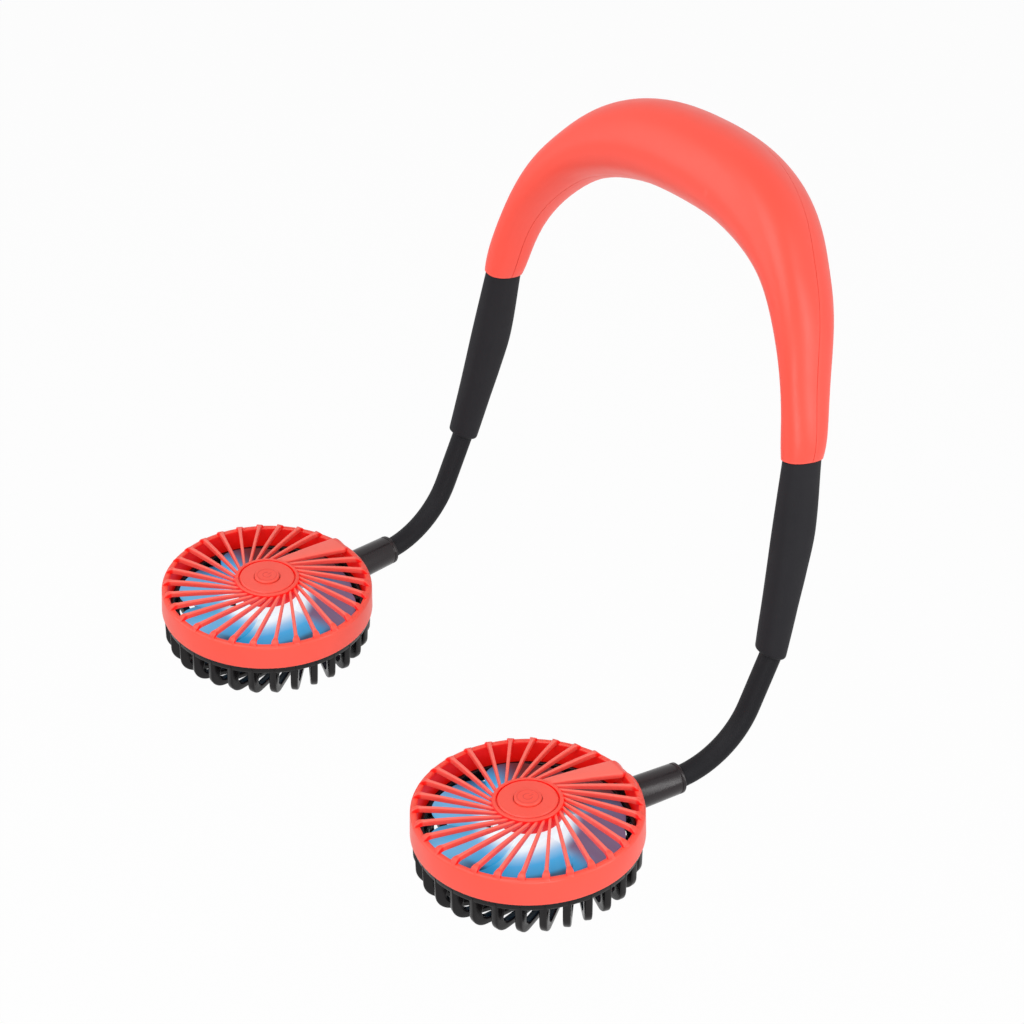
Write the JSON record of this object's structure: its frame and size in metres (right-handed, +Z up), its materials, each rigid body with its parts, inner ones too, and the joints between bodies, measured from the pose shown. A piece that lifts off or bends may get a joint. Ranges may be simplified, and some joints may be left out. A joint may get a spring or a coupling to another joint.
{
  "type": "neck fan",
  "caption": "Wearable neck fan: a hollow band with rubber-sleeved bendable arms that each carry a caged, lit fan with a centre power button.",
  "frame": {"origin": "midway between the two ends of the coral band, in the middle of the neck opening", "axes": "+X to the wearer's left, +Y to the nape, +Z up as worn"},
  "size_m": [0.2164, 0.175, 0.1866],
  "materials": {
    "coral_plastic": "satin coral moulding",
    "black_plastic": "satin black moulding",
    "collar_plastic": "semi-gloss brown-black moulding",
    "black_rubber": "matt black silicone rubber",
    "impeller_plastic": "milky translucent moulding, lit from the hub",
    "motor_steel": "plain steel",
    "bush_brass": "turned brass",
    "circuit_board": "solder-masked board",
    "switch_plastic": "black switch case",
    "lamp_plastic": "clear-white lamp",
    "cell_case": "shrink-wrapped cell"
  },
  "bodies": {
    "band": {"band_front_shell": "coral_plastic", "band_rear_shell": "coral_plastic", "battery_left": "cell_case", "battery_right": "cell_case", "control_board": "circuit_board", "usb_socket": "motor_steel", "charge_light": "lamp_plastic", "arm_sleeve_left": "black_rubber", "arm_sleeve_right": "black_rubber", "gooseneck_root_left": "black_rubber", "gooseneck_root_right": "black_rubber"},
    "left_link_4": {"gooseneck_link_4_left": "black_rubber"},
    "left_link_3": {"gooseneck_link_3_left": "black_rubber"},
    "left_link_2": {"gooseneck_link_2_left": "black_rubber"},
    "left_link_1": {"gooseneck_link_1_left": "black_rubber"},
    "left_head": {"collar_left": "collar_plastic", "front_grille_left": "coral_plastic", "rear_grille_left": "black_plastic", "hub_cap_left": "coral_plastic", "switch_board_left": "circuit_board", "button_switch_left": "switch_plastic", "hub_leds_left": "lamp_plastic", "motor_can_left": "motor_steel", "motor_bush_left": "bush_brass", "motor_screws_left": "motor_steel"},
    "left_fan": {"impeller_left": "impeller_plastic", "motor_shaft_left": "motor_steel"},
    "left_button": {"power_button_left": "coral_plastic"},
    "right_link_4": {"gooseneck_link_4_right": "black_rubber"},
    "right_link_3": {"gooseneck_link_3_right": "black_rubber"},
    "right_link_2": {"gooseneck_link_2_right": "black_rubber"},
    "right_link_1": {"gooseneck_link_1_right": "black_rubber"},
    "right_head": {"collar_right": "collar_plastic", "front_grille_right": "coral_plastic", "rear_grille_right": "black_plastic", "hub_cap_right": "coral_plastic", "switch_board_right": "circuit_board", "button_switch_right": "switch_plastic", "hub_leds_right": "lamp_plastic", "motor_can_right": "motor_steel", "motor_bush_right": "bush_brass", "motor_screws_right": "motor_steel"},
    "right_fan": {"impeller_right": "impeller_plastic", "motor_shaft_right": "motor_steel"},
    "right_button": {"power_button_right": "coral_plastic"}
  },
  "joints": [
    {"name": "left_bend_1", "type": "hinge", "parent": "band", "child": "left_link_4", "pos_m": [0.08073, -0.02113, -0.0795], "axis": [-0.9936, 0.1054, -0.0398], "range_deg": [-18, 18]},
    {"name": "left_swing_1", "type": "hinge", "parent": "left_link_4", "child": "left_link_3", "pos_m": [0.08052, -0.02577, -0.08658], "axis": [-0.1053, -0.7428, 0.6612], "range_deg": [-10, 10]},
    {"name": "left_bend_2", "type": "hinge", "parent": "left_link_3", "child": "left_link_2", "pos_m": [0.08006, -0.03221, -0.09205], "axis": [-0.9936, 0.1054, -0.0398], "range_deg": [-18, 18]},
    {"name": "left_swing_2", "type": "hinge", "parent": "left_link_2", "child": "left_link_1", "pos_m": [0.07938, -0.03993, -0.09547], "axis": [-0.0664, -0.2628, 0.9626], "range_deg": [-10, 10]},
    {"name": "left_bend_3", "type": "hinge", "parent": "left_link_1", "child": "left_head", "pos_m": [0.07853, -0.04828, -0.09655], "axis": [-0.9936, 0.1054, -0.0398], "range_deg": [-18, 18]},
    {"name": "left_fan_spin", "type": "hinge", "parent": "left_head", "child": "left_fan", "pos_m": [0.07288, -0.10096, -0.09478], "axis": [-0.0379, 0.0204, 0.9991], "continuous": true},
    {"name": "left_button_press", "type": "slide", "parent": "left_head", "child": "left_button", "axis": [0.0379, -0.0204, -0.9991], "range_m": [0, 0.00045], "stiffness_N_per_m": 1500},
    {"name": "right_bend_1", "type": "hinge", "parent": "band", "child": "right_link_4", "pos_m": [-0.08073, -0.02113, -0.0795], "axis": [-0.9936, -0.1054, 0.0398], "range_deg": [-18, 18]},
    {"name": "right_swing_1", "type": "hinge", "parent": "right_link_4", "child": "right_link_3", "pos_m": [-0.08052, -0.02577, -0.08658], "axis": [0.1053, -0.7428, 0.6612], "range_deg": [-10, 10]},
    {"name": "right_bend_2", "type": "hinge", "parent": "right_link_3", "child": "right_link_2", "pos_m": [-0.08006, -0.03221, -0.09205], "axis": [-0.9936, -0.1054, 0.0398], "range_deg": [-18, 18]},
    {"name": "right_swing_2", "type": "hinge", "parent": "right_link_2", "child": "right_link_1", "pos_m": [-0.07938, -0.03993, -0.09547], "axis": [0.0664, -0.2628, 0.9626], "range_deg": [-10, 10]},
    {"name": "right_bend_3", "type": "hinge", "parent": "right_link_1", "child": "right_head", "pos_m": [-0.07853, -0.04828, -0.09655], "axis": [-0.9936, -0.1054, 0.0398], "range_deg": [-18, 18]},
    {"name": "right_fan_spin", "type": "hinge", "parent": "right_head", "child": "right_fan", "pos_m": [-0.07288, -0.10096, -0.09478], "axis": [0.0379, 0.0204, 0.9991], "continuous": true},
    {"name": "right_button_press", "type": "slide", "parent": "right_head", "child": "right_button", "axis": [-0.0379, -0.0204, -0.9991], "range_m": [0, 0.00045], "stiffness_N_per_m": 1500}
  ],
  "couplings": [
    {"joint": "left_bend_2", "follows": "left_bend_1", "ratio": 1},
    {"joint": "left_bend_3", "follows": "left_bend_1", "ratio": 1},
    {"joint": "left_swing_2", "follows": "left_swing_1", "ratio": 1},
    {"joint": "right_bend_2", "follows": "right_bend_1", "ratio": 1},
    {"joint": "right_bend_3", "follows": "right_bend_1", "ratio": 1},
    {"joint": "right_swing_2", "follows": "right_swing_1", "ratio": 1}
  ]
}
